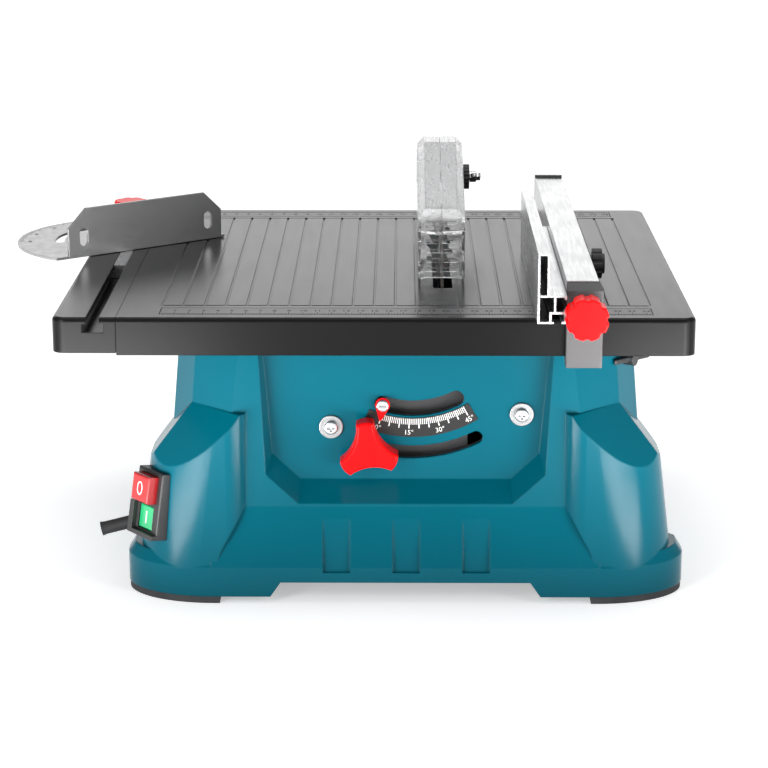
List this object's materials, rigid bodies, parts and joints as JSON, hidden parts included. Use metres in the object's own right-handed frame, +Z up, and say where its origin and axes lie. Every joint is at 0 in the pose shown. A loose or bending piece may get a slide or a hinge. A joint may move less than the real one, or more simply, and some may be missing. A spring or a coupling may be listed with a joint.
{
  "type": "tabletop wet tile cutter",
  "caption": "Bench-top wet tile saw: a grooved steel table on a moulded plastic base, with a tilting blade under a clear guard, a rip fence and a mitre gauge.",
  "frame": {"origin": "bottom centre of the machine's bounding box at rest, on the bench under the rubber feet", "axes": "+Z up; the front with the tilt clamp and the switch faces -Y; +X is the side with the rip fence"},
  "size_m": [0.511, 0.445, 0.303],
  "materials": {
    "teal_housing": "glossy",
    "foot_rubber": "matte",
    "fastener_steel": "zinc plated",
    "tray_black": "satin",
    "plug_rubber": "matte",
    "table_black": "satin powder coat",
    "extension_black": "satin powder coat",
    "trunnion_steel": "zinc plated",
    "scale_black": "satin label",
    "switch_black": "satin",
    "sleeve_black": "matte",
    "wing_screw_black": "satin",
    "capacitor_case": "satin",
    "clip_steel": "zinc plated",
    "carrier_steel": "black paint",
    "pointer_red": "glossy",
    "motor_cast": "cast",
    "motor_cap": "cast",
    "lamination_steel": "laminated",
    "copper_winding": "enamelled copper",
    "knife_steel": "zinc plated",
    "rotor_steel": "laminated",
    "fan_plastic": "satin",
    "blade_steel": "ground",
    "blade_diamond": "rough sintered",
    "tilt_knob_red": "glossy",
    "guard_clear": "clear polycarbonate",
    "washer_black": "satin",
    "nut_chrome": "bright plated",
    "rail_aluminium": "anodised",
    "bracket_grey": "dark grey powder coat",
    "knob_red": "glossy",
    "face_aluminium": "anodised",
    "face_knob_black": "satin",
    "mitre_bar_steel": "zinc plated",
    "mitre_sheet_steel": "satin grey",
    "mitre_knob_red": "glossy",
    "stop_red": "glossy",
    "start_green": "glossy"
  },
  "bodies": {
    "base": {"base_housing": "teal_housing", "foot_front_left": "foot_rubber", "foot_front_right": "foot_rubber", "foot_rear_left": "foot_rubber", "foot_rear_right": "foot_rubber", "foot_screws": "fastener_steel", "water_tray": "tray_black", "drain_plug": "plug_rubber", "table_top": "table_black", "side_extension": "extension_black", "table_screws": "fastener_steel", "front_trunnion_plate": "trunnion_steel", "rear_trunnion_plate": "trunnion_steel", "trunnion_screws": "fastener_steel", "trunnion_washers": "fastener_steel", "angle_scale": "scale_black", "switch_body": "switch_black", "cord_sleeve": "sleeve_black", "side_wing_screw": "wing_screw_black", "run_capacitor": "capacitor_case", "capacitor_clip": "clip_steel"},
    "carrier": {"carrier_frame": "carrier_steel", "pointer_screw": "fastener_steel", "tilt_pointer": "pointer_red", "guide_bolts": "fastener_steel", "motor_shell": "motor_cast", "motor_end_cap": "motor_cap", "stator_core": "lamination_steel", "stator_windings": "copper_winding", "motor_bearings": "fastener_steel", "riving_knife": "knife_steel", "knife_screws": "fastener_steel"},
    "rotor": {"motor_shaft": "fastener_steel", "rotor_core": "rotor_steel", "cooling_fan": "fan_plastic", "inner_flange": "fastener_steel", "outer_flange": "fastener_steel", "arbor_nut": "fastener_steel", "blade_core": "blade_steel", "blade_rim": "blade_diamond"},
    "tilt_knob": {"tilt_knob": "tilt_knob_red"},
    "guard": {"guard_left": "guard_clear", "guard_right": "guard_clear", "guard_bolt": "fastener_steel", "guard_washer": "washer_black"},
    "guard_nut": {"guard_wing_nut": "nut_chrome"},
    "fence": {"fence_rail": "rail_aluminium", "fence_front_bracket": "bracket_grey", "fence_rear_hook": "bracket_grey", "fence_tie_rod": "fastener_steel", "face_bolt": "fastener_steel"},
    "fence_knob": {"fence_knob": "knob_red"},
    "fence_face": {"fence_face": "face_aluminium"},
    "face_knob": {"face_knob": "face_knob_black"},
    "mitre_bar": {"mitre_bar": "mitre_bar_steel", "mitre_stud": "fastener_steel"},
    "mitre_head": {"mitre_head": "mitre_sheet_steel"},
    "mitre_knob": {"mitre_knob": "mitre_knob_red"},
    "stop_button": {"stop_button": "stop_red"},
    "start_button": {"start_button": "start_green"}
  },
  "joints": [
    {"name": "tilt", "type": "hinge", "parent": "base", "child": "carrier", "pos_m": [0.057, 0.0105, 0.2075], "axis": [0, -1, 0], "range_deg": [0, 45]},
    {"name": "blade_spin", "type": "hinge", "parent": "carrier", "child": "rotor", "pos_m": [0.052, 0.0155, 0.156], "axis": [1, 0, 0], "continuous": true},
    {"name": "tilt_clamp_turn", "type": "hinge", "parent": "carrier", "child": "tilt_knob", "pos_m": [0.02524, -0.1545, 0.11089], "axis": [0, 1, 0], "range_deg": [0, 180]},
    {"name": "guard_lift", "type": "hinge", "parent": "carrier", "child": "guard", "pos_m": [0.079, 0.1055, 0.263], "axis": [-1, 0, 0], "range_deg": [0, 20]},
    {"name": "guard_nut_turn", "type": "hinge", "parent": "guard", "child": "guard_nut", "pos_m": [0.106, 0.1055, 0.263], "axis": [1, 0, 0], "continuous": true},
    {"name": "fence_slide", "type": "slide", "parent": "base", "child": "fence", "axis": [1, 0, 0], "range_m": [-0.045, 0.055]},
    {"name": "fence_knob_turn", "type": "hinge", "parent": "fence", "child": "fence_knob", "pos_m": [0.1749, -0.2145, 0.2228], "axis": [0, 1, 0], "continuous": true},
    {"name": "face_slide", "type": "slide", "parent": "fence", "child": "fence_face", "axis": [0, 1, 0], "range_m": [0, 0.1]},
    {"name": "face_knob_turn", "type": "hinge", "parent": "fence", "child": "face_knob", "pos_m": [0.192, -0.0715, 0.23], "axis": [1, 0, 0], "continuous": true},
    {"name": "mitre_slide", "type": "slide", "parent": "base", "child": "mitre_bar", "axis": [0, 1, 0], "range_m": [-0.15, 0.02]},
    {"name": "mitre_swivel", "type": "hinge", "parent": "mitre_bar", "child": "mitre_head", "pos_m": [-0.1655, 0.0725, 0.217], "axis": [0, 0, 1], "range_deg": [-97, 22]},
    {"name": "mitre_knob_turn", "type": "hinge", "parent": "mitre_bar", "child": "mitre_knob", "pos_m": [-0.1655, 0.0725, 0.235], "axis": [0, 0, 1], "continuous": true},
    {"name": "stop_press", "type": "slide", "parent": "base", "child": "stop_button", "axis": [0.77, 0.6168, -0.1633], "range_m": [0, 0.003], "stiffness_N_per_m": 400},
    {"name": "start_press", "type": "slide", "parent": "base", "child": "start_button", "axis": [0.77, 0.6168, -0.1633], "range_m": [0, 0.002], "stiffness_N_per_m": 400}
  ]
}
